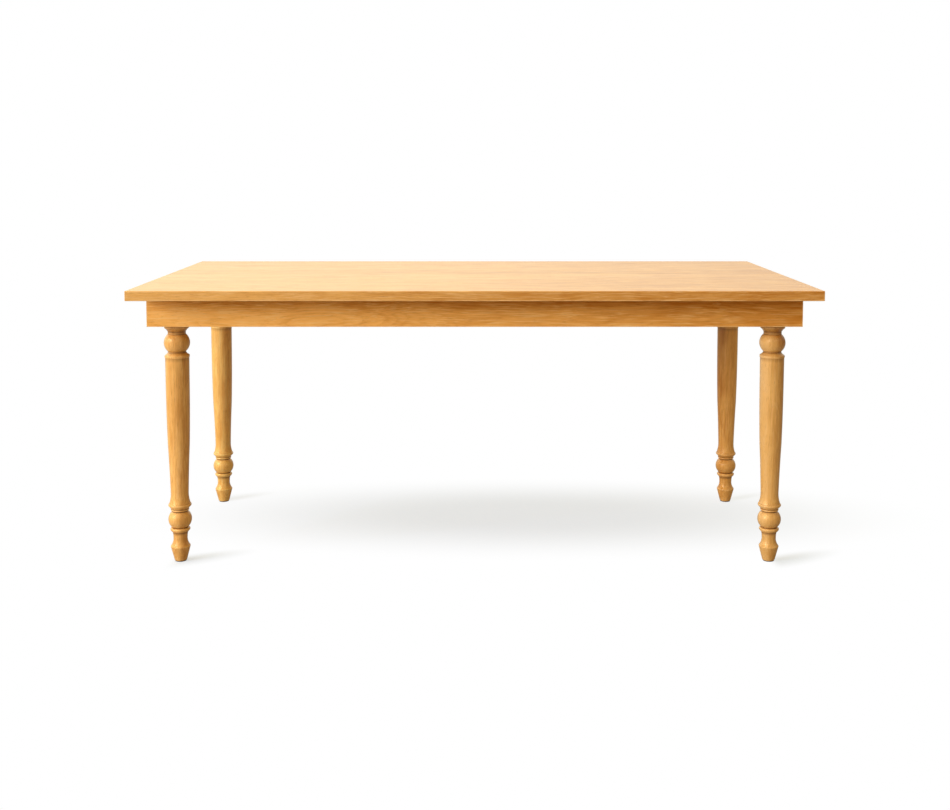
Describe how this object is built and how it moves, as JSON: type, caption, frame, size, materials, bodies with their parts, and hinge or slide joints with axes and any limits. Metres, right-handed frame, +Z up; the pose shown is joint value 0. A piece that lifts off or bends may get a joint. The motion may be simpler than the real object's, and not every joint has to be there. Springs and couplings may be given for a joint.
{
  "type": "rectangular dining table",
  "caption": "Rectangular wooden dining table with an edge-glued top on a mitred apron frame and turned legs bolted to diagonal corner braces.",
  "frame": {"origin": "on the floor, under the middle of the table", "axes": "+X along the table's length to the right, +Y across it to the back, +Z up"},
  "size_m": [1.8, 0.9, 0.76],
  "materials": {
    "top_oak": "satin lacquer over pale honey oak, grain along the length",
    "apron_oak": "satin lacquer over pale honey oak, grain along the rail",
    "leg_oak": "satin lacquer over turned honey oak, grain upright",
    "inner_oak": "planed and sealed oak",
    "biscuit_beech": "pressed beech, bare",
    "zinc_steel": "bright zinc plate",
    "glide_felt": "pressed brown felt"
  },
  "bodies": {
    "root": {"top_board_1": "top_oak", "top_board_2": "top_oak", "top_board_3": "top_oak", "top_board_4": "top_oak", "top_board_5": "top_oak", "top_board_6": "top_oak", "top_biscuits": "biscuit_beech", "front_rail": "apron_oak", "back_rail": "apron_oak", "left_rail": "apron_oak", "right_rail": "apron_oak", "mitre_biscuits": "biscuit_beech", "left_cross_bearer": "inner_oak", "right_cross_bearer": "inner_oak", "bearer_screws": "zinc_steel", "leg_front_left": "leg_oak", "leg_front_right": "leg_oak", "leg_back_left": "leg_oak", "leg_back_right": "leg_oak", "corner_brace_front_left": "inner_oak", "corner_brace_front_right": "inner_oak", "corner_brace_back_left": "inner_oak", "corner_brace_back_right": "inner_oak", "foot_glide_front_left": "glide_felt", "foot_glide_front_right": "glide_felt", "foot_glide_back_left": "glide_felt", "foot_glide_back_right": "glide_felt", "hanger_bolts": "zinc_steel", "bolt_washers": "zinc_steel", "bolt_nuts": "zinc_steel", "brace_screws": "zinc_steel", "top_buttons": "inner_oak", "button_screws": "zinc_steel"}
  },
  "joints": []
}
